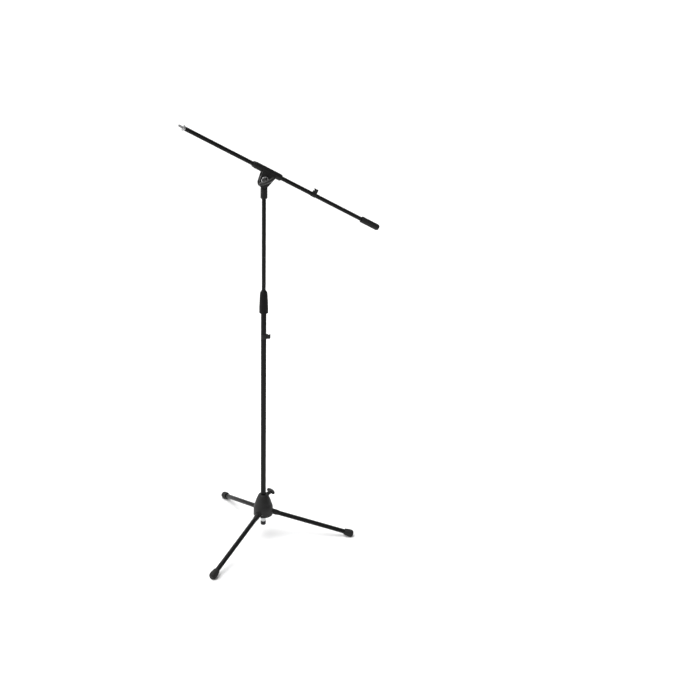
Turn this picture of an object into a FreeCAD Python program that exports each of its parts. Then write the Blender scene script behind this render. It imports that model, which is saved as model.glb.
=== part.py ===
import FreeCAD, Part
import math
import os
import Sketcher

# Boom microphone stand: tripod base with a bell-shaped leg housing, a two-part
# telescopic column, a tilt head and a sliding boom.  Millimetres, +Z up, origin
# on the floor on the column's axis.  The boom lies in the XZ plane with its
# threaded front end towards -X, and it tilts about an axis along Y.

V = FreeCAD.Vector
doc = FreeCAD.newDocument("BoomStand")
sheet = doc.addObject("Spreadsheet::Sheet", "Dimensions")
row_no = [0]


class Size:
    """A driving dimension: its value and the expression that reads it."""

    def __init__(self, v, e):
        self.v = float(v)
        self.e = e

    def _two(self, other, sign, fn):
        ov = other.v if isinstance(other, Size) else float(other)
        oe = other.e if isinstance(other, Size) else repr(float(other))
        return Size(fn(self.v, ov), "(" + self.e + " " + sign + " " + oe + ")")

    def __add__(self, o):
        return self._two(o, "+", lambda a, b: a + b)

    def __sub__(self, o):
        return self._two(o, "-", lambda a, b: a - b)

    def __mul__(self, o):
        return self._two(o, "*", lambda a, b: a * b)

    def __truediv__(self, o):
        return self._two(o, "/", lambda a, b: a / b)

    def __neg__(self):
        return Size(-self.v, "(0 - " + self.e + ")")


def dim(alias, value, note):
    row_no[0] += 1
    n = row_no[0]
    sheet.set("A%d" % n, note)
    sheet.set("B%d" % n, repr(float(value)))
    sheet.setAlias("B%d" % n, alias)
    return Size(value, "Dimensions." + alias)


def num(x):
    return x.v if isinstance(x, Size) else float(x)


# ---------------------------------------------------------------- dimensions
low_r = dim("low_radius", 11.0, "lower tube outside radius")
low_ri = dim("low_bore", 9.5, "lower tube inside radius")
up_r = dim("up_radius", 8.0, "upper tube and boom outside radius")
up_ri = dim("up_bore", 6.8, "upper tube and boom inside radius")
low_top = dim("low_top", 1075.0, "top of lower tube")
low_bot = dim("low_bottom", 110.0, "bottom of lower tube")
up_bot = dim("up_bottom", 600.0, "bottom of upper tube at rest")
run_gap = dim("run_gap", 0.05, "radial clearance of a running fit")
fix_gap = dim("fix_gap", 0.02, "radial clearance of a fixed fit")
bell_r = dim("bell_radius", 41.0, "widest radius of the bell")
bell_bot = dim("bell_bottom", 108.0, "height of the bell's rim")
bell_top = dim("bell_top", 203.0, "height of the bell's top")
piv_r = dim("leg_pivot_radius", 34.6, "leg pivot distance from the axis")
piv_z = dim("leg_pivot_height", 122.0, "leg pivot height")
leg_slope = dim("leg_slope", 17.6, "leg slope below the horizontal, degrees")
leg_r = dim("leg_radius", 9.5, "leg tube outside radius")
leg_ri = dim("leg_bore", 8.3, "leg tube inside radius")
leg_end = dim("leg_end", 346.0, "leg tube end, from the pivot")
foot_end = dim("foot_end", 368.0, "foot end, from the pivot")
foot_r = dim("foot_radius", 15.9, "foot largest radius")
slot_w = dim("slot_width", 20.6, "width of a leg slot in the bell")
brk_w = dim("bracket_width", 20.0, "width of a leg bracket")
pin_r = dim("pin_radius", 3.0, "leg pivot pin radius")
piv_h = dim("tilt_height", 1534.0, "height of the tilt pivot")
tilt = dim("tilt_angle", 28.0, "boom angle above the horizontal, degrees")
boom_h = dim("boom_offset", 35.0, "boom axis above the tilt pivot")
bolt_r = dim("bolt_radius", 4.0, "tilt bolt radius")
ear_r = dim("ear_radius", 20.2, "clamp ear end radius")
tongue_r = dim("tongue_radius", 19.5, "socket tongue radius")
tongue_t = dim("tongue_thickness", 12.0, "socket tongue thickness")
fork_gap = dim("fork_gap", 15.0, "gap between the clamp ears")
fork_w = dim("fork_width", 28.0, "width over the clamp ears")
barrel_r = dim("barrel_radius", 13.0, "clamp barrel radius")
boom_front = dim("boom_front", 350.0, "boom tube front end from the pivot")
boom_rear = dim("boom_rear", 508.0, "boom tube rear end from the pivot")
grip_r = dim("grip_radius", 12.5, "rear grip radius")
stud_r = dim("stud_radius", 4.76, "microphone thread radius")
sock_r = dim("socket_radius", 13.3, "tilt socket radius")
nut_core = dim("stud_core", 4.6, "stud radius under the lock nut")
doc.recompute()

LEGS = (102.0, 222.0, 342.0)
SCREW_AZ = 19.0
SCREW_EL = 24.0
SCREW_Z = 186.0
exports = []


# ------------------------------------------------------------------- helpers
def new_body(label):
    b = doc.addObject("PartDesign::Body", label)
    b.Label = label
    exports.append(b)
    return b


def origin_item(body, role):
    for f in body.Origin.OriginFeatures:
        if f.Role == role:
            return f
    raise RuntimeError("no origin feature " + role)


def sketch(body, role="XY_Plane", offset=None):
    sk = body.newObject("Sketcher::SketchObject", body.Label + "_sketch")
    sk.AttachmentSupport = [(origin_item(body, role), "")]
    sk.MapMode = "FlatFace"
    if offset is not None:
        sk.AttachmentOffset = offset
    return sk


def circle(sk, r, x=0.0, y=0.0):
    g = sk.addGeometry(Part.Circle(V(num(x), num(y), 0), V(0, 0, 1), num(r)), False)
    place_point(sk, g, 3, x, y)
    c = sk.addConstraint(Sketcher.Constraint("Radius", g, num(r)))
    if isinstance(r, Size):
        sk.setExpression("Constraints[%d]" % c, r.e)
    return g


def place_point(sk, g, pos, x, y):
    if num(x) == 0.0 and num(y) == 0.0:
        sk.addConstraint(Sketcher.Constraint("Coincident", g, pos, -1, 1))
        return
    for val, name, axis in ((x, "DistanceX", -2), (y, "DistanceY", -1)):
        if num(val) == 0.0:
            sk.addConstraint(Sketcher.Constraint("PointOnObject", g, pos, axis))
        else:
            c = sk.addConstraint(Sketcher.Constraint(name, -1, 1, g, pos, num(val)))
            if isinstance(val, Size):
                sk.setExpression("Constraints[%d]" % c, val.e)


def profile(sk, pts):
    """Closed outline.  Each point is (x, y) or (x, y, mx, my): an arc through
    (mx, my) reaches this point from the one before."""
    n = len(pts)
    ids, ends = [], []
    for i in range(n):
        a, b = pts[i], pts[(i + 1) % n]
        pa = V(num(a[0]), num(a[1]), 0)
        pb = V(num(b[0]), num(b[1]), 0)
        if len(b) == 4:
            pm = V(num(b[2]), num(b[3]), 0)
            if (pm - pa).cross(pb - pm).z > 0:
                g = sk.addGeometry(Part.Arc(pa, pm, pb), False)
                ends.append((1, 2))
            else:
                g = sk.addGeometry(Part.Arc(pb, pm, pa), False)
                ends.append((2, 1))
        else:
            g = sk.addGeometry(Part.LineSegment(pa, pb), False)
            ends.append((1, 2))
        ids.append(g)
    for i in range(n):
        j = (i + 1) % n
        sk.addConstraint(Sketcher.Constraint("Coincident", ids[i], ends[i][1], ids[j], ends[j][0]))
    for i in range(n):
        place_point(sk, ids[i], ends[i][0], pts[i][0], pts[i][1])
        if len(pts[(i + 1) % n]) == 4:
            sk.addConstraint(Sketcher.Constraint("Radius", ids[i], sk.Geometry[ids[i]].Radius))
    return ids


def axis_line(sk, a, b):
    sk.addGeometry(Part.LineSegment(V(a[0], a[1], 0), V(b[0], b[1], 0)), True)
    return (sk, ["Axis0"])


def sound(f):
    """Stop at the first feature that fails, with its own message."""
    for o in (f.Profile[0] if isinstance(f.Profile, tuple) else f.Profile, f):
        if not o.isValid():
            raise RuntimeError(o.Label + ": " + o.getStatusString())


def pad(body, sk, length, mid=False, rev=False, cut=False, through=False):
    f = body.newObject("PartDesign::Pocket" if cut else "PartDesign::Pad", body.Label + ("_cut" if cut else "_pad"))
    f.Profile = sk
    if through:
        f.Type = "ThroughAll"
    else:
        f.Length = num(length)
        if isinstance(length, Size):
            f.setExpression("Length", length.e)
    if mid:
        f.Midplane = True
    if rev:
        f.Reversed = True
    doc.recompute()
    sound(f)
    return f


def revolve(body, sk, axis=None, angle=360.0, mid=False, cut=False):
    f = body.newObject("PartDesign::Groove" if cut else "PartDesign::Revolution", body.Label + "_turned")
    f.Profile = sk
    f.ReferenceAxis = axis if axis is not None else (sk, ["V_Axis"])
    f.Angle = angle
    if mid:
        f.Midplane = True
    doc.recompute()
    sound(f)
    return f


def polar(body, feats, n=3):
    f = body.newObject("PartDesign::PolarPattern", body.Label + "_pattern")
    f.Originals = feats
    f.Axis = (origin_item(body, "Z_Axis"), [""])
    f.Angle = 360.0
    f.Occurrences = n
    body.Tip = f
    doc.recompute()
    return f


def dressed(body, kind, base, pick, size):
    """Fillet or chamfer on the edges of base that pick() accepts."""
    doc.recompute()
    names = ["Edge%d" % (i + 1) for i, e in enumerate(base.Shape.Edges) if pick(e)]
    if not names:
        raise RuntimeError("no edge for " + body.Label)
    f = body.newObject("PartDesign::" + kind, body.Label + "_" + kind.lower())
    f.Base = (base, names)
    if kind == "Fillet":
        f.Radius = size
    else:
        f.Size = size
    doc.recompute()
    return f


def tube(label, ro, ri, z0, z1):
    """A plain tube along Z, turned from its wall's rectangle."""
    b = new_body(label)
    sk = sketch(b, "XZ_Plane")
    profile(sk, [(ri, z0), (ro, z0), (ro, z1), (ri, z1)])
    revolve(b, sk)
    return b


def turned(label, pts):
    b = new_body(label)
    sk = sketch(b, "XZ_Plane")
    profile(sk, pts)
    revolve(b, sk)
    return b


def turn_z(deg):
    return FreeCAD.Rotation(V(0, 0, 1), deg)


def spin(az):
    """Offset that turns a sketch on the XZ plane about the vertical axis."""
    return FreeCAD.Placement(V(0, 0, 0), FreeCAD.Rotation(V(0, 1, 0), az))


# ---------------------------------------------------------------- leg housing
# The body is built with its own X axis on the T-screw's bearing.
hub = new_body("leg_housing")
sk = sketch(hub, "XZ_Plane")
bore = low_r + run_gap
profile(sk, [
    (bore, bell_bot), (bell_r - 1.2, bell_bot), (bell_r, bell_bot + 1.6, 40.7, 108.4),
    (bell_r, 134.0),
    (35.6, 160.0, 39.9, 147.8),
    (26.6, 186.0, 31.6, 173.3),
    (21.0, 199.0, 23.9, 192.6),
    (16.2, bell_top, 19.0, 202.0),
    (15.0, bell_top), (15.0, bell_top - 6.0), (bore, bell_top - 6.0)])
revolve(hub, sk)
# boss for the T-screw, square to the bell's flank
ce, se = math.cos(math.radians(SCREW_EL)), math.sin(math.radians(SCREW_EL))


def on_screw(d, r):
    return (d * ce - r * se, SCREW_Z + d * se + r * ce)


sk = sketch(hub, "XZ_Plane")
profile(sk, [on_screw(16.5, 0.0), on_screw(31.5, 0.0), on_screw(31.5, 6.6), on_screw(30.0, 8.2), on_screw(16.5, 9.4)])
revolve(hub, sk, axis_line(sk, on_screw(10.0, 0.0), on_screw(40.0, 0.0)))
sk = sketch(hub, "XZ_Plane")
profile(sk, [on_screw(2.0, 0.0), on_screw(40.0, 0.0), on_screw(40.0, 4.05), on_screw(2.0, 4.05)])
revolve(hub, sk, axis_line(sk, on_screw(0.0, 0.0), on_screw(42.0, 0.0)), cut=True)
# recess for the guide ring, clear through the boss's upper lip
sk = sketch(hub, "XZ_Plane")
profile(sk, [(8.0, bell_top - 6.0), (15.0, bell_top - 6.0), (15.0, 215.0), (8.0, 215.0)])
revolve(hub, sk, cut=True)
first = LEGS[2] - SCREW_AZ
sk = sketch(hub, "XZ_Plane", spin(first))
profile(sk, [(22.0, 90.0), (22.0, 130.0), (25.0, 133.5), (36.0, 133.5), (55.0, 127.6), (55.0, 90.0)])
slot_cut = pad(hub, sk, slot_w, mid=True, cut=True)
sk = sketch(hub, "XZ_Plane", spin(first))
circle(sk, pin_r + fix_gap, piv_r, piv_z)
pin_cut = pad(hub, sk, 34.0, mid=True, cut=True)
sk = sketch(hub, "XZ_Plane", spin(first + 60.0))
profile(sk, [(28.0, 100.0), (37.0, 100.0), (37.0, 140.0), (33.4, 155.0), (29.0, 165.0), (28.0, 165.0)])
hollow = revolve(hub, sk, angle=70.0, mid=True, cut=True)
polar(hub, [slot_cut, pin_cut, hollow])
hub.Placement = FreeCAD.Placement(V(0, 0, 0), turn_z(SCREW_AZ))

# ring that guides the tube at the bell's mouth
turned("housing_guide_ring", [
    (low_r + run_gap, bell_top - 6.0 + 0.02), (14.96, bell_top - 6.0 + 0.02), (14.96, bell_top + 0.4),
    (14.2, bell_top + 1.4), (12.0, bell_top + 1.4), (low_r + run_gap, bell_top + 0.6)])

# three pivot pins for the legs
pins = []
for i, az in enumerate(LEGS):
    c = doc.addObject("Part::Cylinder", "leg_pin_%d" % (i + 1))
    c.setExpression("Radius", "Dimensions.pin_radius")
    c.Height = 31.0
    a = math.radians(az)
    c.Placement = FreeCAD.Placement(
        V(34.6 * math.cos(a), 34.6 * math.sin(a), 122.0),
        turn_z(az).multiply(FreeCAD.Rotation(V(1, 0, 0), 90))).multiply(
            FreeCAD.Placement(V(0, 0, -15.5), FreeCAD.Rotation()))
    pins.append(c)
group = doc.addObject("Part::Compound", "leg_pivot_pins")
group.Label = "leg_pivot_pins"
group.Links = pins
exports.append(group)

# ---------------------------------------------------------- base T-screw set
# Local frame of every T-handle: Z out along the screw, X along its crossbar.
screw_rot = turn_z(SCREW_AZ).multiply(FreeCAD.Rotation(V(0, 1, 0), 90.0 - SCREW_EL))


def along_screw(d):
    a = math.radians(SCREW_AZ)
    return V(d * ce * math.cos(a), d * ce * math.sin(a), SCREW_Z + d * se)


# pad between the screw's tip and the tube, hollowed to the tube's curve
b = new_body("clamp_pad")
sk = sketch(b, "XZ_Plane")
profile(sk, [on_screw(4.0, 0.0), on_screw(19.0, 0.0), on_screw(19.0, 3.7), on_screw(4.0, 3.7)])
revolve(b, sk, axis_line(sk, on_screw(0.0, 0.0), on_screw(42.0, 0.0)))
sk = sketch(b, "XY_Plane")
circle(sk, low_r + 0.3)
pad(b, sk, 0, cut=True, through=True, mid=True)
b.Placement = FreeCAD.Placement(V(0, 0, 0), turn_z(SCREW_AZ))

b = turned("base_screw_stud", [
    (0.0, 0.0), (3.2, 0.0), (4.0 - 0.03, 0.8), (4.0 - 0.03, 20.0), (0.0, 20.0)])
b.Placement = FreeCAD.Placement(along_screw(19.4), screw_rot)


def t_handle(label, boss_r, neck_r, reach, span, bar_r, curve, bore_r, bore_d):
    """Turned boss, flat web and a bowed crossbar whose ends bend back."""
    hb = new_body(label)
    s = sketch(hb, "XZ_Plane")
    shoulder = reach * 0.25
    waist = reach * 0.55
    profile(s, [(0.0, 0.0), (boss_r - 0.8, 0.0), (boss_r, 0.8), (boss_r, shoulder),
                (neck_r, waist, neck_r + (boss_r - neck_r) * 0.3, shoulder + (waist - shoulder) * 0.45),
                (neck_r, reach - 1.0), (0.0, reach - 1.0)])
    revolve(hb, s)
    s = sketch(hb, "XZ_Plane")
    w0 = boss_r - 2.0
    profile(s, [(-w0, 4.0), (w0, 4.0), (span * 0.45, reach - 4.0), (span * 0.30, reach - 0.6),
                (-span * 0.30, reach - 0.6), (-span * 0.45, reach - 4.0)])
    web = pad(hb, s, bar_r * 1.15, mid=True)
    s = sketch(hb, "YZ_Plane")
    circle(s, bar_r, 0.0, reach)
    ax = axis_line(s, (-20.0, reach - curve), (20.0, reach - curve))
    half = math.degrees(math.asin((span - bar_r * 0.3) / curve))
    bar = revolve(hb, s, ax, angle=2 * half, mid=True)
    bar = dressed(hb, "Fillet", bar,
                  lambda e: abs(e.Length - 2 * math.pi * bar_r) < 0.05 and abs(e.CenterOfMass.x) > span * 0.8,
                  bar_r * 0.72)
    s = sketch(hb, "XY_Plane")
    circle(s, bore_r)
    hole = pad(hb, s, bore_d, cut=True, rev=True)
    if hole.Shape.Volume > bar.Shape.Volume - 10.0:
        raise RuntimeError("bore missed in " + label)
    return hb


b = t_handle("base_screw_handle", 8.6, 6.8, 13.6, 23.6, 6.8, 42.0, 4.0, 7.4)
b.Placement = FreeCAD.Placement(along_screw(32.3), screw_rot.multiply(turn_z(90.0)))

# -------------------------------------------------------------------- legs
for i, az in enumerate(LEGS):
    k = str(i + 1)
    a = math.radians(az)
    place = FreeCAD.Placement(
        V(34.6 * math.cos(a), 34.6 * math.sin(a), 122.0),
        turn_z(az).multiply(FreeCAD.Rotation(V(0, 1, 0), 17.6)))
    # bracket: eye, square root that tapers to the tube, spigot inside the tube
    b = new_body("leg_bracket_" + k)
    sk = sketch(b, "YZ_Plane")
    w, h, c = brk_w / 2.0, 10.4, 4.6
    profile(sk, [(-w, -h + c), (-w + c, -h), (w - c, -h), (w, -h + c), (w, h - c), (w - c, h), (-w + c, h), (-w, h - c)])
    root = pad(b, sk, 24.0)
    sk = sketch(b, "XZ_Plane")
    circle(sk, 10.4)
    pad(b, sk, brk_w, mid=True)
    sk = sketch(b, "XZ_Plane")
    profile(sk, [(14.0, 0.0), (14.0, 10.9), (20.0, 11.0), (30.0, 10.3, 25.4, 10.8), (36.0, leg_r),
                 (36.0, leg_ri - fix_gap), (77.0, leg_ri - fix_gap), (78.0, leg_ri - 1.0), (78.0, 0.0)])
    shank = revolve(b, sk, (sk, ["H_Axis"]))
    sk = sketch(b, "XZ_Plane")
    circle(sk, pin_r + run_gap)
    eye = pad(b, sk, 30.0, mid=True, cut=True)
    b.Placement = place
    # the shank's crown is trimmed to the bracket's own width
    sk = sketch(b, "XZ_Plane")
    profile(sk, [(-12.0, -12.0), (24.0, -12.0), (24.0, 12.0), (-12.0, 12.0)])
    trim = b.newObject("PartDesign::Pocket", b.Label + "_trim")
    trim.Profile = sk
    trim.Length = 3.0
    sk.AttachmentOffset = FreeCAD.Placement(V(0, 0, 10.0 + 3.0), FreeCAD.Rotation())
    doc.recompute()
    sk = sketch(b, "XZ_Plane")
    profile(sk, [(-12.0, -12.0), (24.0, -12.0), (24.0, 12.0), (-12.0, 12.0)])
    trim = b.newObject("PartDesign::Pocket", b.Label + "_trim")
    trim.Profile = sk
    trim.Length = 3.0
    trim.Reversed = True
    sk.AttachmentOffset = FreeCAD.Placement(V(0, 0, -10.0 - 3.0), FreeCAD.Rotation())
    doc.recompute()

    b = new_body("leg_tube_" + k)
    sk = sketch(b, "XZ_Plane")
    profile(sk, [(36.1, leg_ri), (leg_end, leg_ri), (leg_end, leg_r), (36.1, leg_r)])
    revolve(b, sk, (sk, ["H_Axis"]))
    b.Placement = place

    b = new_body("foot_" + k)
    sk = sketch(b, "XZ_Plane")
    profile(sk, [(328.0, leg_r + fix_gap), (328.0, 12.2), (329.6, 13.5, 328.5, 13.1), (337.0, 14.5),
                 (348.0, foot_r), (359.0, foot_r), (foot_end, 6.5, 365.6, 12.6), (foot_end, 0.0),
                 (leg_end + 0.1, 0.0), (leg_end + 0.1, leg_r + fix_gap)])
    boot = revolve(b, sk, (sk, ["H_Axis"]))
    # flat sole: everything under the floor plane is taken off
    sl = math.radians(17.6)

    def floor_w(s):
        return (s * math.sin(sl) - 122.0) / math.cos(sl)

    sk = sketch(b, "XZ_Plane")
    profile(sk, [(320.0, floor_w(320.0)), (380.0, floor_w(380.0)), (380.0, -40.0), (320.0, -40.0)])
    sole = pad(b, sk, 60.0, mid=True, cut=True)
    if not sole.Shape.Volume < boot.Shape.Volume - 20.0:
        raise RuntimeError("sole not cut")
    b.Placement = place

# ------------------------------------------------------------------- column
tube("lower_tube", low_r, low_ri, low_bot, low_top)
turned("tube_end_ferrule", [
    (0.0, 76.0), (10.6, 76.0), (10.6, low_bot - 0.1), (low_ri - fix_gap, low_bot - 0.1),
    (low_ri - fix_gap, 136.0), (7.6, 137.0), (7.6, 90.0), (0.0, 90.0)])
turned("tube_end_cap", [
    (0.0, 58.0), (9.6, 58.0), (11.2, 59.8, 10.75, 58.5), (11.2, 75.9), (0.0, 75.9)])

# clutch: base sleeve on the tube, split collet round the upper tube, grip
turned("clutch_base", [
    (low_r + fix_gap, 1010.0), (13.4, 1010.0), (13.4, 1072.0), (12.4, 1073.6),
    (low_r + fix_gap, 1073.6)])
b = turned("clutch_collet", [
    (up_r + run_gap, 1075.6), (12.4, 1075.6), (12.4, 1081.0), (9.8, 1095.0), (up_r + run_gap, 1095.0)])
sk = sketch(b, "XZ_Plane")
profile(sk, [(-0.8, 1079.0), (0.8, 1079.0), (0.8, 1100.0), (-0.8, 1100.0)])
slit = pad(b, sk, 40.0, mid=True, cut=True)
b.Placement = FreeCAD.Placement(V(0, 0, 0), turn_z(40.0))
turned("clutch_grip", [
    (13.8, 1009.0), (17.0, 1009.0), (17.9, 1010.2, 17.7, 1009.3), (17.9, 1030.0), (15.4, 1086.0),
    (9.8, 1101.0, 14.4, 1096.6), (8.4, 1101.0), (8.4, 1098.4), (10.3, 1095.4), (12.9, 1081.4),
    (13.8, 1076.0)])

# guide bush that slides in the lower tube and carries the upper tube
turned("guide_bush", [
    (up_r + run_gap, 604.0), (low_ri - run_gap, 604.0), (low_ri - run_gap, 640.0), (up_r + run_gap, 640.0)])
tube("upper_tube", up_r, up_ri, up_bot, 1498.0)


def clip(label, shaft_r, wall, mouth, hook_c, long):
    """Cable clip: an open ring on the tube with an open loop beside it."""
    cb = new_body(label)
    s = sketch(cb, "XY_Plane")
    circle(s, shaft_r + 0.06 + wall)
    ring = pad(cb, s, long, mid=True)
    s = sketch(cb, "XY_Plane")
    x0 = shaft_r + 0.3
    profile(s, [(x0, -5.2), (hook_c, -6.2), (hook_c, 6.2), (x0, 5.2)])
    pad(cb, s, long * 0.9, mid=True)
    s = sketch(cb, "XY_Plane")
    circle(s, 6.6, hook_c, 0.0)
    loop = pad(cb, s, long * 0.9, mid=True)
    s = sketch(cb, "XY_Plane")
    circle(s, shaft_r + 0.06)
    pad(cb, s, 60.0, mid=True, cut=True)
    s = sketch(cb, "XY_Plane")
    circle(s, 3.9, hook_c, 0.0)
    pad(cb, s, 60.0, mid=True, cut=True)
    s = sketch(cb, "XY_Plane")
    profile(s, [(hook_c - 2.2, 1.2), (hook_c + 2.2, 1.2), (hook_c + 2.2, 12.0), (hook_c - 2.2, 12.0)])
    pad(cb, s, 60.0, mid=True, cut=True)
    s = sketch(cb, "XY_Plane")
    t = math.tan(math.radians(mouth / 2.0)) * 40.0
    profile(s, [(0.0, 0.0), (-40.0, t), (-40.0, -t)])
    last = pad(cb, s, 60.0, mid=True, cut=True)
    if not last.Shape.Volume < loop.Shape.Volume:
        raise RuntimeError("clip not opened")
    return cb


b = clip("cable_clip_lower", 11.0, 1.3, 100.0, 20.6, 19.6)
b.Placement = FreeCAD.Placement(V(0, 0, 910.5), turn_z(-16.0))

# ---------------------------------------------------------------- tilt head
pivot = FreeCAD.Placement(V(0, 0, 1534.0), FreeCAD.Rotation())
boomed = FreeCAD.Placement(V(0, 0, 1534.0), FreeCAD.Rotation(V(0, 1, 0), 28.0))

b = new_body("tilt_socket")
sk = sketch(b, "XZ_Plane")
profile(sk, [
    (up_r + fix_gap, -70.0), (12.4, -70.0), (sock_r, -69.0, 13.1, -69.7), (sock_r, -34.6),
    (10.8, -32.0, 12.7, -32.7), (0.0, -32.0), (0.0, -35.9), (up_r + fix_gap, -35.9)])
revolve(b, sk)
sk = sketch(b, "XZ_Plane")
profile(sk, [(-11.4, -33.0), (11.4, -33.0), (15.4, -10.0), (-15.4, -10.0)])
pad(b, sk, tongue_t, mid=True)
sk = sketch(b, "XZ_Plane")
circle(sk, tongue_r)
head = pad(b, sk, tongue_t, mid=True)
sk = sketch(b, "XZ_Plane")
circle(sk, bolt_r + run_gap)
last = pad(b, sk, 60.0, mid=True, cut=True)
if not last.Shape.Volume < head.Shape.Volume - 100.0:
    raise RuntimeError("tongue not bored")
b.Placement = pivot

rings = []
for i, y0 in enumerate((6.05, -7.15)):
    outer = doc.addObject("Part::Cylinder", "washer_disc_%d" % i)
    outer.Radius = 16.5
    outer.Height = 1.1
    inner = doc.addObject("Part::Cylinder", "washer_hole_%d" % i)
    inner.setExpression("Radius", "Dimensions.bolt_radius + Dimensions.run_gap")
    inner.Height = 1.1
    cut = doc.addObject("Part::Cut", "friction_washer_%d" % i)
    cut.Base = outer
    cut.Tool = inner
    cut.Placement = FreeCAD.Placement(V(0, y0 + 1.1, 1534.0), FreeCAD.Rotation(V(1, 0, 0), 90))
    rings.append(cut)
group = doc.addObject("Part::Compound", "friction_washers")
group.Label = "friction_washers"
group.Links = rings
exports.append(group)

# clamp: split barrel round the liner, with an ear each side of the tongue
b = new_body("boom_clamp")
sk = sketch(b, "YZ_Plane")
circle(sk, barrel_r, 0.0, boom_h)
sk.AttachmentOffset = FreeCAD.Placement(V(0, 0, -57.0), FreeCAD.Rotation())
pad(b, sk, 109.0)
sk = sketch(b, "XZ_Plane")
profile(sk, [(-22.8, 31.0), (-22.6, 22.0), (-17.0, -13.2), (2.9, -10.1), (22.3, -15.6), (33.1, 22.0), (34.4, 31.0)])
pad(b, sk, fork_w, mid=True)
sk = sketch(b, "XZ_Plane")
circle(sk, ear_r, 2.9, -10.1)
ears = pad(b, sk, fork_w, mid=True)
sk = sketch(b, "XZ_Plane")
profile(sk, [(-60.0, -40.0), (70.0, -40.0), (70.0, 20.3), (-60.0, 20.3)])
gap = pad(b, sk, fork_gap, mid=True, cut=True)
sk = sketch(b, "YZ_Plane")
circle(sk, 10.6, 0.0, boom_h)
pad(b, sk, 300.0, mid=True, cut=True)
sk = sketch(b, "XZ_Plane")
profile(sk, [(-80.0, 15.0), (80.0, 15.0), (80.0, 30.0), (-80.0, 30.0)])
pad(b, sk, 3.0, mid=True, cut=True)
sk = sketch(b, "XZ_Plane")
circle(sk, bolt_r + run_gap)
last = pad(b, sk, 80.0, mid=True, cut=True)
if not last.Shape.Volume < ears.Shape.Volume:
    raise RuntimeError("clamp not cut")
b.Placement = boomed


def cross(place_y, rot_y):
    """Local Z onto -Y at the pivot, local X along the given tilt."""
    r = FreeCAD.Rotation(V(0, 1, 0), rot_y).multiply(FreeCAD.Rotation(V(1, 0, 0), 90))
    return FreeCAD.Placement(V(0, place_y, 1534.0), r)


b = turned("tilt_washer", [
    (bolt_r + run_gap, 0.0), (13.8, 0.0), (14.4, 0.6), (14.4, 1.6), (13.6, 2.4), (bolt_r + run_gap, 2.4)])
b.Placement = cross(-14.05, 0.0)
b = new_body("tilt_nut")
sk = sketch(b, "XY_Plane")
hexa = [(7.5 * math.cos(math.radians(60 * i)), 7.5 * math.sin(math.radians(60 * i))) for i in range(6)]
hexa = [(0.0 if abs(x) < 1e-9 else x, 0.0 if abs(y) < 1e-9 else y) for x, y in hexa]
profile(sk, hexa)
pad(b, sk, 6.6)
sk = sketch(b, "XY_Plane")
circle(sk, bolt_r + run_gap)
last = pad(b, sk, 30.0, mid=True, cut=True)
b.Placement = cross(20.7, 0.0)
b = turned("tilt_bolt", [
    (0.0, -24.0), (3.3, -24.0), (bolt_r, -23.2), (bolt_r, 27.0), (0.0, 27.0)])
b.Placement = cross(0.0, 0.0)
b = t_handle("tilt_handle", 9.0, 6.4, 26.5, 31.0, 6.4, 50.0, 4.02, 10.5)
b.Placement = cross(-16.8, -20.0)

# -------------------------------------------------------------------- boom
def boom_turned(label, pts):
    bb = new_body(label)
    s = sketch(bb, "XZ_Plane")
    profile(s, pts)
    revolve(bb, s, (s, ["H_Axis"]))
    bb.Placement = boomed.multiply(FreeCAD.Placement(V(0, 0, 35.0), FreeCAD.Rotation()))
    return bb


boom_turned("boom_clamp_liner", [
    (-67.0, up_r + run_gap), (-67.0, 10.6), (-66.0, 11.6), (-57.4, 11.6), (-57.4, 10.55), (52.4, 10.55),
    (52.4, 11.6), (56.0, 11.6), (57.0, 10.6), (57.0, up_r + run_gap)])
boom_turned("boom_tube", [
    (-boom_front, up_ri), (boom_rear, up_ri), (boom_rear, up_r), (-boom_front, up_r)])
boom_turned("boom_end_plug", [
    (-325.0, 0.0), (-325.0, up_ri - fix_gap), (-(boom_front + 0.05), up_ri - fix_gap),
    (-(boom_front + 0.05), 8.4), (-353.4, 8.4), (-354.0, 7.8), (-354.0, nut_core), (-360.9, nut_core),
    (-361.2, stud_r), (-376.6, stud_r), (-377.6, 3.9), (-377.6, 0.0)])
b = boom_turned("thread_lock_nut", [
    (-360.2, nut_core + run_gap), (-360.2, 10.4), (-359.5, 11.4), (-355.2, 11.4), (-354.4, 10.4),
    (-354.4, nut_core + run_gap)])
boom_turned("rear_grip", [
    (431.0, up_r + fix_gap), (431.0, 11.2), (432.4, grip_r, 431.4, 12.1), (510.0, grip_r),
    (515.0, 8.0, 513.9, 11.2), (515.0, 0.0), (508.2, 0.0), (508.2, up_r + fix_gap)])
b = clip("cable_clip_boom", 8.0, 2.3, 50.0, 17.6, 18.0)
b.Placement = boomed.multiply(FreeCAD.Placement(
    V(204.5, 0, 35.0), FreeCAD.Rotation(V(0, 1, 0), -90.0)))

# ------------------------------------------------------------------ checking
doc.recompute()
for o in doc.Objects:
    if "Invalid" in o.State or "Error" in o.State:
        raise RuntimeError("bad object " + o.Label + " " + str(o.State))
names = set()
for o in exports:
    if o.Shape.isNull() or not o.Shape.isValid():
        raise RuntimeError("bad shape " + o.Label)
    if o.Label in names:
        raise RuntimeError("name used twice " + o.Label)
    names.add(o.Label)
    solids = len(o.Shape.Solids)
    print(o.Label, solids, round(o.Shape.Volume / 1000.0, 2), "cm3")

os.makedirs("parts", exist_ok=True)
for o in exports:
    o.Shape.exportStep(os.path.join("parts", o.Label + ".step"))
print("exported", len(exports))
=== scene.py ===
import math

import bmesh
import bpy
import numpy as np
from mathutils import Matrix, Vector


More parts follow.
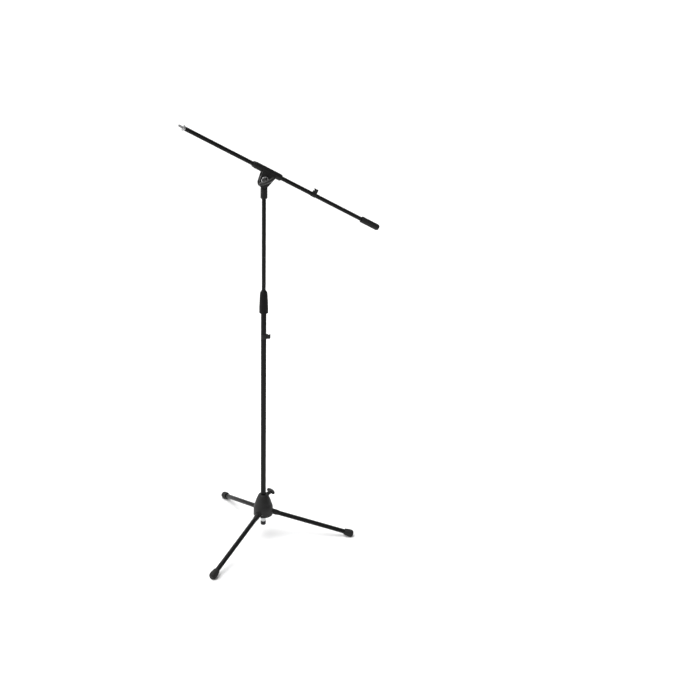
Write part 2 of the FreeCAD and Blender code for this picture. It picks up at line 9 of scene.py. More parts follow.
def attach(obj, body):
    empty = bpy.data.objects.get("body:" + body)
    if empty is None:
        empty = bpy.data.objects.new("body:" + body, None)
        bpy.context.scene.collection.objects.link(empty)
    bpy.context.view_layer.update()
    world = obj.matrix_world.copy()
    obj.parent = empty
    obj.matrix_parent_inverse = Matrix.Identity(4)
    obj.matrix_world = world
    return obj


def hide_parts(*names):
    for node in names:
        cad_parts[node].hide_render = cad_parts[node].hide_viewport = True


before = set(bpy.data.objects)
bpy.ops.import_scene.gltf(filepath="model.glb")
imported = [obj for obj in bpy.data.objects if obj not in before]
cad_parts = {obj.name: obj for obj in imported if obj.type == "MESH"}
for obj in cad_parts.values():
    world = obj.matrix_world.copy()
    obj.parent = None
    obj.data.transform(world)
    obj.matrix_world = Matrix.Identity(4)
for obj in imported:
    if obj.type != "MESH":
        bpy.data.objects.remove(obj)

for spare in ("Cube", "Light", "Camera"):
    if spare in bpy.data.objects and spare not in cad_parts:
        bpy.data.objects.remove(bpy.data.objects[spare])
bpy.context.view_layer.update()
MM = 0.001
COLL = bpy.context.scene.collection
RAD = math.radians


# ------------------------------------------------------------- shader helpers
class Net:
    """Small helper round one material's node tree."""

    def __init__(self, name):
        self.mat = bpy.data.materials.new(name)
        self.mat.use_nodes = True
        self.t = self.mat.node_tree
        self.t.nodes.clear()
        self.out = self.t.nodes.new("ShaderNodeOutputMaterial")
        self.bsdf = self.t.nodes.new("ShaderNodeBsdfPrincipled")
        self.t.links.new(self.bsdf.outputs[0], self.out.inputs["Surface"])
        self.coord = self.t.nodes.new("ShaderNodeTexCoord").outputs["Object"]

    def link(self, a, b):
        self.t.links.new(a, b)

    def put(self, socket, value):
        if isinstance(value, bpy.types.NodeSocket):
            self.link(value, socket)
        else:
            socket.default_value = value

    def mapped(self, scale):
        n = self.t.nodes.new("ShaderNodeMapping")
        n.inputs["Scale"].default_value = scale
        self.link(self.coord, n.inputs["Vector"])
        return n.outputs[0]

    def noise(self, scale, detail=3.0, rough=0.55, vector=None):
        n = self.t.nodes.new("ShaderNodeTexNoise")
        n.inputs["Scale"].default_value = scale
        n.inputs["Detail"].default_value = detail
        n.inputs["Roughness"].default_value = rough
        self.link(vector if vector is not None else self.coord, n.inputs["Vector"])
        return n.outputs[0]

    def voronoi(self, scale, vector=None, feature="F1"):
        n = self.t.nodes.new("ShaderNodeTexVoronoi")
        n.feature = feature
        n.inputs["Scale"].default_value = scale
        self.link(vector if vector is not None else self.coord, n.inputs["Vector"])
        return n.outputs["Distance"]

    def span(self, value, a, b, lo, hi, smooth=False):
        n = self.t.nodes.new("ShaderNodeMapRange")
        n.interpolation_type = "SMOOTHSTEP" if smooth else "LINEAR"
        n.inputs["From Min"].default_value = a
        n.inputs["From Max"].default_value = b
        n.inputs["To Min"].default_value = lo
        n.inputs["To Max"].default_value = hi
        self.link(value, n.inputs["Value"])
        return n.outputs["Result"]

    def math(self, op, a, b=0.0):
        n = self.t.nodes.new("ShaderNodeMath")
        n.operation = op
        self.put(n.inputs[0], a)
        self.put(n.inputs[1], b)
        return n.outputs[0]

    def mix(self, f, a, b):
        n = self.t.nodes.new("ShaderNodeMix")
        n.data_type = "RGBA"
        self.put(n.inputs["Factor"], f)
        self.put(n.inputs[6], a)
        self.put(n.inputs[7], b)
        return n.outputs[2]

    def edges(self, radius):
        """0 on flat ground, rising to 1 on corners, from the rounded normal."""
        b = self.t.nodes.new("ShaderNodeBevel")
        b.samples = 4
        b.inputs["Radius"].default_value = radius
        g = self.t.nodes.new("ShaderNodeNewGeometry")
        d = self.t.nodes.new("ShaderNodeVectorMath")
        d.operation = "DOT_PRODUCT"
        self.link(b.outputs[0], d.inputs[0])
        self.link(g.outputs["Normal"], d.inputs[1])
        return self.span(d.outputs["Value"], 0.985, 0.86, 0.0, 1.0, True)

    def bump(self, height, distance, strength, normal=None):
        n = self.t.nodes.new("ShaderNodeBump")
        n.inputs["Distance"].default_value = distance
        n.inputs["Strength"].default_value = strength
        self.link(height, n.inputs["Height"])
        if normal is not None:
            self.link(normal, n.inputs["Normal"])
        return n.outputs[0]

    def done(self, color, rough, normal, metallic=0.0, specular=0.5, coat=0.0, coat_rough=0.2):
        i = self.bsdf.inputs
        self.put(i["Base Color"], color)
        self.put(i["Roughness"], rough)
        self.link(normal, i["Normal"])
        i["Metallic"].default_value = metallic
        i["Specular IOR Level"].default_value = specular
        i["Coat Weight"].default_value = coat
        i["Coat Roughness"].default_value = coat_rough
        return self.mat


def grey(v, tint=(1.0, 1.0, 1.0)):
    return (v * tint[0], v * tint[1], v * tint[2], 1.0)


def powder(name, base, worn, grain, rough, specular, bump):
    """Powder coat: orange-peel grain, faint drift in tone, rubbed corners and dust."""
    n = Net(name)
    drift = n.noise(14.0, 4.0, 0.6)
    peel = n.noise(grain, 2.0, 0.5)
    fine = n.noise(grain * 3.3, 2.0, 0.6)
    edge = n.edges(0.0009)
    patch = n.span(n.noise(90.0, 5.0, 0.7), 0.42, 0.62, 0.0, 1.0, True)
    wear = n.math("MULTIPLY", edge, patch)
    dust = n.span(n.noise(420.0, 3.0, 0.75), 0.66, 0.80, 0.0, 0.55, True)
    tone = n.mix(n.span(drift, 0.35, 0.65, 0.0, 1.0), grey(base * 0.86), grey(base * 1.16))
    tone = n.mix(n.math("MULTIPLY", dust, 0.35), tone, grey(base * 2.4 + 0.004, (1.0, 0.98, 0.94)))
    tone = n.mix(n.math("MULTIPLY", wear, 0.7), tone, grey(worn))
    r = n.span(peel, 0.3, 0.7, rough - 0.05, rough + 0.06)
    r = n.math("SUBTRACT", r, n.math("MULTIPLY", wear, 0.12))
    height = n.math("ADD", peel, n.math("MULTIPLY", fine, 0.35))
    return n.done(tone, r, n.bump(height, bump, 0.55), specular=specular)


def moulded(name, base, grain, rough, specular, bump):
    """Moulded plastic: spark-eroded grain, slightly polished edges."""
    n = Net(name)
    cells = n.voronoi(grain)
    soft = n.noise(grain * 0.45, 3.0, 0.6)
    drift = n.noise(22.0, 3.0, 0.5)
    edge = n.edges(0.0007)
    polish = n.math("MULTIPLY", edge, n.span(n.noise(120.0, 4.0, 0.6), 0.40, 0.60, 0.2, 1.0, True))
    tone = n.mix(n.span(drift, 0.35, 0.65, 0.0, 1.0), grey(base * 0.88), grey(base * 1.14))
    tone = n.mix(n.math("MULTIPLY", polish, 0.45), tone, grey(base * 1.9 + 0.004))
    r = n.span(soft, 0.3, 0.7, rough - 0.06, rough + 0.07)
    r = n.math("SUBTRACT", r, n.math("MULTIPLY", polish, 0.15))
    height = n.math("ADD", n.math("MULTIPLY", cells, 0.8), soft)
    return n.done(tone, r, n.bump(height, bump, 0.5), specular=specular)


def rubbery(name, base, rough, bump):
    """Rubber: matt, faintly mottled, dusty where it is rough."""
    n = Net(name)
    mottled = n.noise(60.0, 5.0, 0.65)
    pore = n.noise(1500.0, 3.0, 0.6)
    scuff = n.span(n.noise(160.0, 6.0, 0.72), 0.54, 0.70, 0.0, 1.0, True)
    tone = n.mix(n.span(mottled, 0.35, 0.65, 0.0, 1.0), grey(base * 0.82), grey(base * 1.2))
    tone = n.mix(n.math("MULTIPLY", scuff, 0.35), tone, grey(base * 1.9 + 0.006, (1.0, 0.98, 0.95)))
    r = n.span(pore, 0.3, 0.7, rough - 0.06, rough + 0.08)
    height = n.math("ADD", pore, n.math("MULTIPLY", mottled, 0.6))
    return n.done(tone, r, n.bump(height, bump, 0.6), specular=0.28)


def plated(name, color, rough, stretch, bump, dull=0.12):
    """Plated steel: turning marks along one direction, faint haze and stains."""
    n = Net(name)
    lines = n.noise(1.0, 3.0, 0.6, n.mapped(stretch))
    haze = n.noise(240.0, 4.0, 0.65)
    spots = n.span(n.noise(700.0, 3.0, 0.7), 0.62, 0.76, 0.0, 1.0, True)
    low = tuple(c * (1.0 - dull) for c in color) + (1.0,)
    tone = n.mix(n.span(haze, 0.35, 0.65, 0.0, 1.0), tuple(color) + (1.0,), low)
    tone = n.mix(n.math("MULTIPLY", spots, 0.25), tone, tuple(c * 0.72 for c in color) + (1.0,))
    r = n.math("ADD", n.span(lines, 0.3, 0.7, rough * 0.75, rough * 1.3), n.math("MULTIPLY", spots, 0.12))
    return n.done(tone, r, n.bump(n.math("ADD", lines, n.math("MULTIPLY", haze, 0.3)), bump, 0.35), metallic=1.0)


M_CAST = powder("cast_powder_coat", 0.0095, 0.050, 620.0, 0.50, 0.26, 0.00012)
M_HEAD = powder("head_powder_coat", 0.0062, 0.042, 760.0, 0.46, 0.20, 0.00009)
M_TUBE = powder("tube_powder_coat", 0.0048, 0.034, 1100.0, 0.36, 0.14, 0.00004)
M_PLASTIC = moulded("moulded_plastic", 0.0075, 2400.0, 0.46, 0.24, 0.00004)
M_KNOB = moulded("knob_plastic", 0.0095, 2200.0, 0.36, 0.36, 0.00003)
M_GRIP = moulded("soft_grip_plastic", 0.0042, 1700.0, 0.56, 0.12, 0.00006)
M_RUBBER = rubbery("rubber", 0.0092, 0.70, 0.00006)
M_SLEEVE = rubbery("sleeve_rubber", 0.0050, 0.62, 0.00006)
M_CHROME = plated("bright_plate", (0.46, 0.465, 0.47), 0.14, (60.0, 60.0, 5200.0), 0.00002)
M_WASHER = plated("washer_plate", (0.70, 0.70, 0.71), 0.20, (1500.0, 1500.0, 1500.0), 0.00002)
M_NICKEL = plated("nickel_plate", (0.40, 0.40, 0.402), 0.22, (900.0, 900.0, 900.0), 0.00002)
M_ZINC = plated("zinc_plate", (0.62, 0.63, 0.64), 0.34, (1200.0, 1200.0, 1200.0), 0.00003, 0.2)
M_BRASS = plated("turned_brass", (0.72, 0.52, 0.25), 0.26, (1500.0, 1500.0, 1500.0), 0.00002)


# --------------------------------------------------------------- mesh helpers
def finish_piece(name, me, mat, body, nodes=(), sharp=38.0):
    me.materials.clear()
    me.materials.append(mat)
    for p in me.polygons:
        p.use_smooth = True
    me.set_sharp_from_angle(angle=RAD(sharp))
    me.update()
    o = bpy.data.objects.new(name, me)
    COLL.objects.link(o)
    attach(o, body)
    if nodes:
        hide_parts(*nodes)
    return o


def grid_mesh(name, pos, wrap_u=True, cap_lo=None, cap_hi=None):
    """pos[v][u] points.  Rows v joined in order, u closed round.  A cap is the
    point that closes the first or last row, or 'loop' to join last row to first."""
    nv, nu = pos.shape[0], pos.shape[1]
    verts = pos.reshape(-1, 3).tolist()
    faces = []
    for v in range(nv - 1 if cap_lo != "loop" else nv):
        w = (v + 1) % nv
        for u in range(nu):
            u2 = (u + 1) % nu
            faces.append((v * nu + u, v * nu + u2, w * nu + u2, w * nu + u))
    if cap_lo is not None and not isinstance(cap_lo, str):
        k = len(verts)
        verts.append(list(cap_lo))
        faces += [(k, (u + 1) % nu, u) for u in range(nu)]
    if cap_hi is not None:
        k = len(verts)
        verts.append(list(cap_hi))
        b = (nv - 1) * nu
        faces += [(k, b + u, b + (u + 1) % nu) for u in range(nu)]
    me = bpy.data.meshes.new(name)
    me.from_pydata(verts, [], faces)
    bm = bmesh.new()
    bm.from_mesh(me)
    bmesh.ops.recalc_face_normals(bm, faces=bm.faces)
    bm.to_mesh(me)
    bm.free()
    me.validate()
    return me


def rounded(pts, seg=5):
    """Outline points (r, z, corner radius) in mm to a dense outline, corners rounded.
    A first or last point given a radius is rounded against the other end, as if the outline were closed."""
    out = []
    n = len(pts)
    for i, p in enumerate(pts):
        rad = p[2] if len(p) > 2 else 0.0
        a = np.array(pts[(i - 1) % n][:2], float)
        b = np.array(p[:2], float)
        c = np.array(pts[(i + 1) % n][:2], float)
        if rad <= 0.0:
            out.append(tuple(b))
            continue
        d1, d2 = a - b, c - b
        l1, l2 = np.linalg.norm(d1), np.linalg.norm(d2)
        d1, d2 = d1 / l1, d2 / l2
        ang = math.acos(max(-1.0, min(1.0, float(d1 @ d2))))
        if ang > math.pi - 0.01:
            out.append(tuple(b))
            continue
        cut = min(rad / math.tan(ang / 2.0), l1 * 0.49, l2 * 0.49)
        r = cut * math.tan(ang / 2.0)
        mid = (d1 + d2) / np.linalg.norm(d1 + d2)
        cen = b + mid * (r / math.sin(ang / 2.0))
        s, e = b + d1 * cut - cen, b + d2 * cut - cen
        a0, a1 = math.atan2(s[1], s[0]), math.atan2(e[1], e[0])
        da = (a1 - a0 + math.pi) % (2 * math.pi) - math.pi
        for k in range(seg + 1):
            t = a0 + da * k / seg
            out.append((cen[0] + r * math.cos(t), cen[1] + r * math.sin(t)))
    return out


def dense(pts, step):
    """The same outline with long runs divided."""
    out = [pts[0]]
    for a, b in zip(pts, pts[1:]):
        d = math.hypot(b[0] - a[0], b[1] - a[1])
        k = max(1, int(math.ceil(d / step)))
        for j in range(1, k + 1):
            out.append((a[0] + (b[0] - a[0]) * j / k, a[1] + (b[1] - a[1]) * j / k))
    return out


def lathe(name, outline, matrix, n=96, closed=False, radial=None):
    """Turn an outline (r, z) in mm about local Z.  radial(theta, z, r) may change r."""
    th = np.linspace(0.0, 2 * math.pi, n, endpoint=False)
    rows = [(r, z) for r, z in outline]
    lo = hi = None
    if not closed:
        if rows[0][0] < 1e-6:
            lo = rows.pop(0)
        if rows[-1][0] < 1e-6:
            hi = rows.pop()
    pos = np.zeros((len(rows), n, 3))
    for i, (r, z) in enumerate(rows):
        rr = np.full(n, r, float)
        if radial is not None:
            rr = radial(th, z, rr)
        pos[i, :, 0] = rr * np.cos(th)
        pos[i, :, 1] = rr * np.sin(th)
        pos[i, :, 2] = z
    pos *= MM
    me = grid_mesh(name, pos, cap_lo="loop" if closed else (None if lo is None else (0, 0, lo[1] * MM)),
                   cap_hi=None if closed or hi is None else (0, 0, hi[1] * MM))
    me.transform(matrix)
    me.update()
    return me


def evaluated(o):
    dg = bpy.context.evaluated_depsgraph_get()
    me = bpy.data.meshes.new_from_object(o.evaluated_get(dg), depsgraph=dg)
    return me


def cast(name, node, mat, voxel, rounds, body, factor=0.5, sharp=180.0, grow=0.0):
    """A cast or moulded piece: its CAD solid's corners and joins run into each other
    as they do from a mould."""
    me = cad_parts[node].data.copy()
    bm = bmesh.new()
    bm.from_mesh(me)
    bmesh.ops.remove_doubles(bm, verts=bm.verts, dist=1e-6)
    bmesh.ops.recalc_face_normals(bm, faces=bm.faces)
    bm.to_mesh(me)
    bm.free()
    tmp = bpy.data.objects.new(name + "_tmp", me)
    COLL.objects.link(tmp)
    m = tmp.modifiers.new("remesh", "REMESH")
    m.mode = "VOXEL"
    m.voxel_size = voxel
    m.adaptivity = 0.0
    s = tmp.modifiers.new("soften", "SMOOTH")
    s.factor = factor
    s.iterations = rounds
    if grow:
        g = tmp.modifiers.new("grow", "DISPLACE")
        g.mid_level = 0.0
        g.strength = grow
    out = evaluated(tmp)
    bpy.data.objects.remove(tmp)
    out.name = name
    return finish_piece(name, out, mat, body, (node,), sharp)


def keep(node, mat, bevel=0.0, sharp=32.0):
    """A CAD node that stays, with its own material and, if asked, eased edges."""
    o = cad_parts[node]
    o.data.materials.clear()
    o.data.materials.append(mat)
    for p in o.data.polygons:
        p.material_index = 0
        p.use_smooth = True
    o.data.set_sharp_from_angle(angle=RAD(sharp))
    if bevel:
        b = o.modifiers.new("eased", "BEVEL")
        b.width = bevel
        b.segments = 2
        b.limit_method = "ANGLE"
        b.angle_limit = RAD(sharp)
    return o


# ------------------------------------------------------------ frames of parts
I4 = Matrix.Identity(4)
PIVOT = Vector((0.0, 0.0, 1.534))
TILT = RAD(28.0)
SLOPE = RAD(17.6)
BEARINGS = (102.0, 222.0, 342.0)


def at(v, r=None):
    m = Matrix.Translation(Vector(v))
    return m @ r if r is not None else m


def leg_frame(az):
    """Local X out along the leg from its pivot."""
    a = RAD(az)
    return at((0.0346 * math.cos(a), 0.0346 * math.sin(a), 0.122),
              Matrix.Rotation(a, 4, "Z") @ Matrix.Rotation(SLOPE, 4, "Y"))


X_AS_Z = Matrix.Rotation(RAD(90.0), 4, "Y")      # lathe's Z onto local X
BOOM = at(PIVOT, Matrix.Rotation(TILT, 4, "Y")) @ at((0, 0, 0.035)) @ X_AS_Z
SCREW_AZ, SCREW_EL = RAD(19.0), RAD(24.0)


# --------------------------------------------------------------------- pieces
def tube_piece(name, node, body, ro, ri, z0, z1, matrix, mat=M_TUBE, n=96):
    out = rounded([(ri, z0, 0.3), (ro, z0, 0.35), (ro, z1, 0.35), (ri, z1, 0.3)], 3)
    return finish_piece(name, lathe(name, out, matrix, n, closed=True), mat, body, (node,))


# column
tube_piece("tube_lower", "lower_tube", "column", 11.0, 9.5, 110.0, 1075.0, I4)
tube_piece("tube_upper", "upper_tube", "mast", 8.0, 6.8, 600.0, 1498.0, I4)
tube_piece("tube_boom", "boom_tube", "boom", 8.0, 6.8, -350.0, 508.0, BOOM)
for i, az in enumerate(BEARINGS):
    k = str(i + 1)
    tube_piece("tube_leg_" + k, "leg_tube_" + k, "leg_" + k, 9.5, 8.3, 36.1, 346.0, leg_frame(az) @ X_AS_Z)

# bright end of the column and its cap, under the bell
out = rounded([(0.0, 76.0), (10.6, 76.0, 0.5), (10.6, 109.9, 0.5), (9.48, 109.9, 0.2), (9.48, 136.0, 0.6),
               (7.6, 137.0, 0.2), (7.6, 90.0, 0.2), (0.0, 90.0)])
finish_piece("end_ferrule", lathe("end_ferrule", out, I4), M_CHROME, "column", ("tube_end_ferrule",))
out = rounded([(0.0, 59.4), (4.0, 59.4, 1.0), (5.0, 58.0, 0.8), (10.0, 58.0, 1.4), (11.2, 60.4, 1.2),
               (11.2, 72.6, 0.3), (10.8, 73.1, 0.2), (11.2, 73.6, 0.3), (11.2, 75.9, 0.5), (0.0, 75.9)], 6)
finish_piece("end_cap", lathe("end_cap", out, I4), M_PLASTIC, "column", ("tube_end_cap",))

# bell housing: a casting, so its corners run together
cast("bell_housing", "leg_housing", M_CAST, 0.0007, 7, "base")
out = rounded([(11.05, 197.1, 0.1), (14.9, 197.1, 0.1), (14.9, 203.4, 0.5), (14.2, 204.4, 0.6),
               (12.0, 204.4, 0.5), (11.05, 203.6, 0.3)], 4)
finish_piece("guide_ring", lathe("guide_ring", out, I4, closed=True), M_PLASTIC, "base", ("housing_guide_ring",))
keep("leg_pivot_pins", M_ZINC)
keep("clamp_pad", M_BRASS)
keep("base_screw_stud", M_ZINC)
cast("screw_handle", "base_screw_handle", M_PLASTIC, 0.00045, 4, "base_screw", grow=0.0005)

for i, az in enumerate(BEARINGS):
    k = str(i + 1)
    cast("bracket_" + k, "leg_bracket_" + k, M_HEAD, 0.0006, 8, "leg_" + k)


# rubber feet: boots with a collar, shallow rings and a sole worn flat by the floor
def foot_mesh(name, az):
    rows = rounded([(9.52, 328.0, 0.2), (12.6, 328.0, 0.9), (13.4, 329.8, 0.8), (13.6, 333.4, 0.6),
                    (14.3, 336.0, 0.8), (15.8, 347.0, 5.0), (15.9, 355.0, 6.0), (14.5, 362.4, 4.5),
                    (10.2, 367.3, 3.6), (0.0, 367.5)], 6)
    rows = dense(rows, 0.9)
    th = np.linspace(0.0, 2 * math.pi, 128, endpoint=False)
    m = np.array(leg_frame(az) @ X_AS_Z)
    rows = [rows[0]] + [p for p in rows[1:] if p[0] > 1e-6]
    end = (0.0, 367.5)
    # inner wall first so the mesh closes on itself
    full = [(9.52, 346.1), (9.52, 337.0)] + rows
    pos = np.zeros((len(full), len(th), 3))
    for j, (r, z) in enumerate(full):
        ring = 0.0
        if 339.0 < z < 347.5 and j > 1:
            ring = 0.28 * max(0.0, math.sin((z - 339.0) / 2.83 * 2 * math.pi)) ** 2
        rr = np.full(len(th), r - ring)
        x, y = rr * np.cos(th), rr * np.sin(th)
        p = np.stack([x, y, np.full(len(th), z)], 1) * MM
        w = p @ m[:3, :3].T + m[:3, 3]
        c = np.array([0, 0, z * MM]) @ m[:3, :3].T + m[:3, 3]
        low = w[:, 2] < 0.0002
        if low.any() and j > 1:
            t = (c[2] - 0.0002) / np.maximum(c[2] - w[:, 2], 1e-9)
            f = np.where(low, t, 1.0)[:, None]
            w = c + (w - c) * f
        pos[j] = w
    lo = np.array([0, 0, 346.1 * MM]) @ m[:3, :3].T + m[:3, 3]
    hi = np.array([0, 0, end[1] * MM]) @ m[:3, :3].T + m[:3, 3]
    return grid_mesh(name, pos, cap_lo=tuple(lo), cap_hi=tuple(hi))


for i, az in enumerate(BEARINGS):
    k = str(i + 1)
    finish_piece("boot_" + k, foot_mesh("boot_" + k, az), M_RUBBER, "leg_" + k, ("foot_" + k,))

# clutch: tapered grip with a U-shaped finger panel pressed into each side
keep("clutch_base", M_PLASTIC)
keep("clutch_collet", M_PLASTIC)
keep("guide_bush", M_PLASTIC)
PANEL = RAD(-106.0)


def grip_radius(th, z, r):
    out = r.copy()
    if z < 1054.0 or z > 1094.0:
        return out
    for a in (PANEL, PANEL + math.pi):
        d = (th - a + math.pi) % (2 * math.pi) - math.pi
        x = d * 16.0
        y = z - 1068.0
        # rounded-bottom panel, 8.5 mm half width, open at the top edge
        dist = np.where(y < 0.0, np.hypot(x, y) - 8.6, np.abs(x) - 8.6)
        dist = np.maximum(dist, y - 20.5)
        t = np.clip((0.9 - dist) / 1.5, 0.0, 1.0)
        out -= 0.75 * t * t * (3 - 2 * t)
        lip = np.exp(-((dist - 0.9) / 0.7) ** 2)
        out += 0.16 * lip
    return out


outer = rounded([(13.8, 1009.0, 0.2), (17.0, 1009.0, 0.9), (17.85, 1010.4, 0.8), (17.85, 1028.0, 12.0),
                 (15.45, 1084.0, 10.0), (13.9, 1094.5, 5.0), (9.9, 1100.9, 2.0), (8.45, 1100.9, 0.3)], 8)
inner = [(8.45, 1098.4), (10.3, 1095.4), (12.9, 1081.4), (13.8, 1076.0)]
body_rows = dense(outer, 0.75) + inner
finish_piece("grip_clutch", lathe("grip_clutch", body_rows, I4, 224, closed=True,
                                  radial=lambda th, z, r: grip_radius(th, z, r) if r[0] > 14.4 else r),
             M_GRIP, "clutch", ("clutch_grip",))

# cable clips
cast("clip_lower", "cable_clip_lower", M_PLASTIC, 0.0004, 7, "lower_clip")
cast("clip_boom", "cable_clip_boom", M_PLASTIC, 0.0004, 7, "boom_clip")

# tilt head
cast("socket_tilt", "tilt_socket", M_HEAD, 0.0006, 6, "mast")
cast("clamp_boom", "boom_clamp", M_HEAD, 0.0006, 7, "clamp")
keep("friction_washers", M_PLASTIC)
CROSS = at((0, -0.01405, 1.534), Matrix.Rotation(RAD(90.0), 4, "X"))
out = rounded([(4.06, 0.0, 0.1), (13.8, 0.0, 0.3), (14.4, 0.8, 0.5), (14.4, 1.6, 0.6), (13.2, 2.4, 0.6),
               (4.06, 2.4, 0.2)], 5)
finish_piece("washer_tilt", lathe("washer_tilt", out, CROSS, closed=True), M_WASHER, "clamp", ("tilt_washer",))
keep("tilt_nut", M_ZINC, 0.0004)
keep("tilt_bolt", M_ZINC)
cast("handle_tilt", "tilt_handle", M_KNOB, 0.0005, 5, "tilt_screw")

out = rounded([(8.05, -67.0, 0.3), (10.6, -67.0, 0.7), (11.6, -66.0, 0.8), (11.6, -57.4, 0.4), (10.55, -57.4, 0.1),
               (10.55, 52.4, 0.1), (11.6, 52.4, 0.4), (11.6, 56.0, 0.8), (10.6, 57.0, 0.7), (8.05, 57.0, 0.3)], 4)
finish_piece("liner_clamp", lathe("liner_clamp", out, BOOM, closed=True), M_PLASTIC, "liner", ("boom_clamp_liner",))

# rear grip
out = rounded([(8.02, 431.0, 0.3), (11.2, 431.0, 0.9), (12.5, 433.0, 1.6), (12.5, 508.0, 9.0),
               (10.4, 513.6, 4.0), (6.0, 515.0, 5.0), (0.0, 515.0)], 8)
full = [(0.0, 508.2), (8.02, 508.2)] + dense(out, 2.0)
finish_piece("grip_rear", lathe("grip_rear", full, BOOM, 128), M_SLEEVE, "boom", ("rear_grip",))

# threaded stud and its plug: a real helix, lead-in chamfer at the tip
PITCH = 1.5875


def thread(th, z, r):
    if not (-377.7 < z < -361.2):
        return r
    ph = (z / PITCH - th / (2 * math.pi)) % 1.0
    tri = 1.0 - np.abs(ph * 2.0 - 1.0)
    tri = np.clip(tri * 1.25 - 0.1, 0.0, 1.0)
    fade = min(1.0, (z + 377.4) / 1.6, (-361.2 - z) / 0.8)
    tip = 1.05 * max(0.0, 1.0 - (z + 377.6) / 1.3)
    return r - 0.95 * (1.0 - tri) * max(0.0, fade) - tip


stud = [(0.0, -377.6)] + [(4.74, -377.6 + 0.13 * j) for j in range(1, int(16.5 / 0.13))]
stud += [(4.74, -361.15), (4.58, -360.9), (4.58, -354.05)]
flange = rounded([(4.58, -354.0), (7.9, -354.0, 0.5), (8.4, -353.2, 0.5), (8.4, -350.05, 0.3), (6.78, -350.05)], 4)
plug = stud + flange + [(6.78, -325.0), (0.0, -325.0)]
finish_piece("plug_thread", lathe("plug_thread", plug, BOOM, 96, radial=thread), M_NICKEL, "boom",
             ("boom_end_plug",), sharp=50.0)


def knurl(th, z, r):
    if r[0] < 10.9 or not (-359.6 < z < -355.1):
        return r
    a = np.abs(np.sin(24 * th + z * 1.9)) + np.abs(np.sin(24 * th - z * 1.9))
    return r - 0.32 * (1.0 - a / 2.0)


ring = rounded([(4.66, -360.2, 0.2), (10.4, -360.2, 0.3), (11.0, -359.6, 0.4), (11.0, -355.1, 0.4),
                (10.4, -354.4, 0.3), (4.66, -354.4, 0.2)], 3)
ring = dense(ring + [ring[0]], 0.25)[:-1]
finish_piece("nut_lock", lathe("nut_lock", ring, BOOM, 288, closed=True, radial=knurl), M_NICKEL, "lock_nut",
             ("thread_lock_nut",), sharp=50.0)

# ---------------------------------------------------------------------- stage
floor_me = bpy.data.meshes.new("floor")
bm = bmesh.new()
bmesh.ops.create_grid(bm, x_segments=8, y_segments=8, size=90.0)
bm.to_mesh(floor_me)
bm.free()
net = Net("floor_paper")
tone = net.mix(net.span(net.noise(1.2, 2.0, 0.5), 0.3, 0.7, 0.0, 1.0), grey(0.945), grey(0.965))
floor_me.materials.append(net.done(tone, 0.9, net.bump(net.noise(300.0, 2.0, 0.5), 0.0002, 0.2), specular=0.05))
floor = bpy.data.objects.new("floor", floor_me)
COLL.objects.link(floor)


def lamp(name, kind, energy, pos, target, size=1.0, size_y=None, angle=None):
    data = bpy.data.lights.new(name, kind)
    data.energy = energy
    if kind == "AREA":
        data.shape = "RECTANGLE"
        data.size = size
        data.size_y = size_y or size
    if angle is not None:
        data.angle = angle
    o = bpy.data.objects.new(name, data)
    COLL.objects.link(o)
    o.location = Vector(pos)
    d = Vector(target) - Vector(pos)
    o.rotation_euler = d.to_track_quat("-Z", "Y").to_euler()
    return o


BETA = RAD(16.0)                      # the object is turned this much to the camera


def seen(x, y, z):
    """Studio point, x right and y away from the camera, in the row frame."""
    c, s = math.cos(-BETA), math.sin(-BETA)
    return (x * c - y * s, x * s + y * c, z)


lamp("sun_soft", "SUN", 2.3, seen(-1.2, -0.6, 4.0), (0, 0, 0), angle=RAD(50.0))
lamp("softbox_left", "AREA", 26.0, seen(-2.6, -0.6, 2.0), (0, 0, 0.9), 0.9, 2.2)
lamp("softbox_back", "AREA", 30.0, seen(-0.8, 3.2, 2.4), (0, 0, 0.8), 2.4, 1.4)

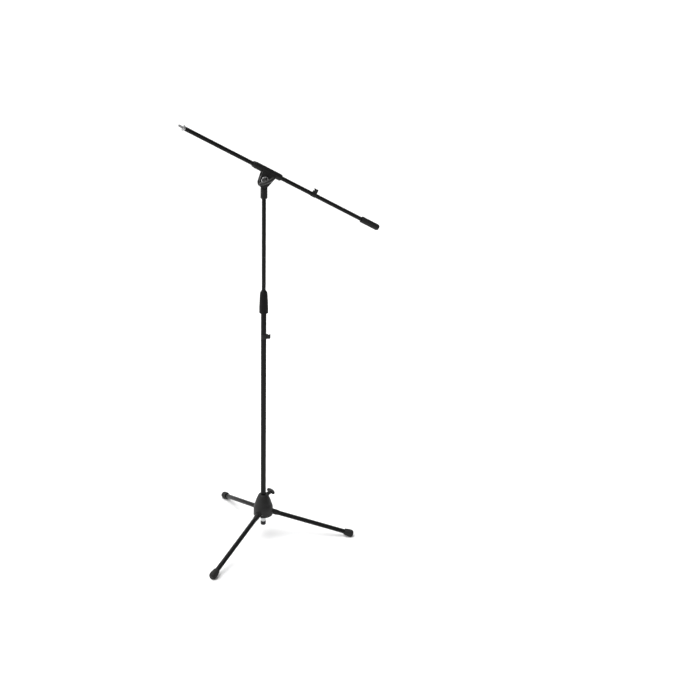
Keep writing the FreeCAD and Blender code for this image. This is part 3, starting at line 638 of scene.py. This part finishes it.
world = bpy.data.worlds.new("studio")
world.use_nodes = True
wt = world.node_tree
wt.nodes.clear()
w_out = wt.nodes.new("ShaderNodeOutputWorld")
w_mix = wt.nodes.new("ShaderNodeMixShader")
w_path = wt.nodes.new("ShaderNodeLightPath")
w_seen = wt.nodes.new("ShaderNodeBackground")
w_light = wt.nodes.new("ShaderNodeBackground")
w_seen.inputs["Color"].default_value = (1, 1, 1, 1)
w_seen.inputs["Strength"].default_value = 1.0
w_light.inputs["Color"].default_value = (1, 1, 1, 1)
# one big soft source fills the studio's left; the right falls away
w_dir = wt.nodes.new("ShaderNodeTexCoord").outputs["Generated"]
w_dot = wt.nodes.new("ShaderNodeVectorMath")
w_dot.operation = "DOT_PRODUCT"
w_dot.inputs[1].default_value = seen(-0.78, 0.44, 0.44)
w_span = wt.nodes.new("ShaderNodeMapRange")
w_span.inputs["From Min"].default_value = -0.75
w_span.inputs["From Max"].default_value = 0.85
w_span.inputs["To Min"].default_value = 0.14
w_span.inputs["To Max"].default_value = 0.80
wt.links.new(w_dir, w_dot.inputs[0])
wt.links.new(w_dot.outputs["Value"], w_span.inputs["Value"])
wt.links.new(w_span.outputs["Result"], w_light.inputs["Strength"])
wt.links.new(w_path.outputs["Is Camera Ray"], w_mix.inputs[0])
wt.links.new(w_light.outputs[0], w_mix.inputs[1])
wt.links.new(w_seen.outputs[0], w_mix.inputs[2])
wt.links.new(w_mix.outputs[0], w_out.inputs[0])
bpy.context.scene.world = world
bpy.context.scene.view_settings.view_transform = "Standard"

# --------------------------------------------------------------------- camera
R = 0.385
pitch, roll, yaw = 0.3661, -0.0354, 0.0923 + BETA
centre = Vector(seen(0.0, -9.6863 * R, 5.9458 * R))
fw = Vector((math.sin(yaw) * math.cos(pitch), math.cos(yaw) * math.cos(pitch), -math.sin(pitch)))
right = Vector((math.cos(yaw), -math.sin(yaw), 0.0))
down = fw.cross(right)
right2 = math.cos(roll) * right + math.sin(roll) * down
down2 = -math.sin(roll) * right + math.cos(roll) * down
cam_data = bpy.data.cameras.new("camera")
cam_data.sensor_width = 36.0
cam_data.lens = 1000.0 / 700.0 * 36.0
cam_data.clip_end = 300.0
cam = bpy.data.objects.new("camera", cam_data)
COLL.objects.link(cam)
cam.matrix_world = Matrix((
    (right2.x, -down2.x, -fw.x, centre.x),
    (right2.y, -down2.y, -fw.y, centre.y),
    (right2.z, -down2.z, -fw.z, centre.z),
    (0.0, 0.0, 0.0, 1.0)))
bpy.context.scene.camera = cam
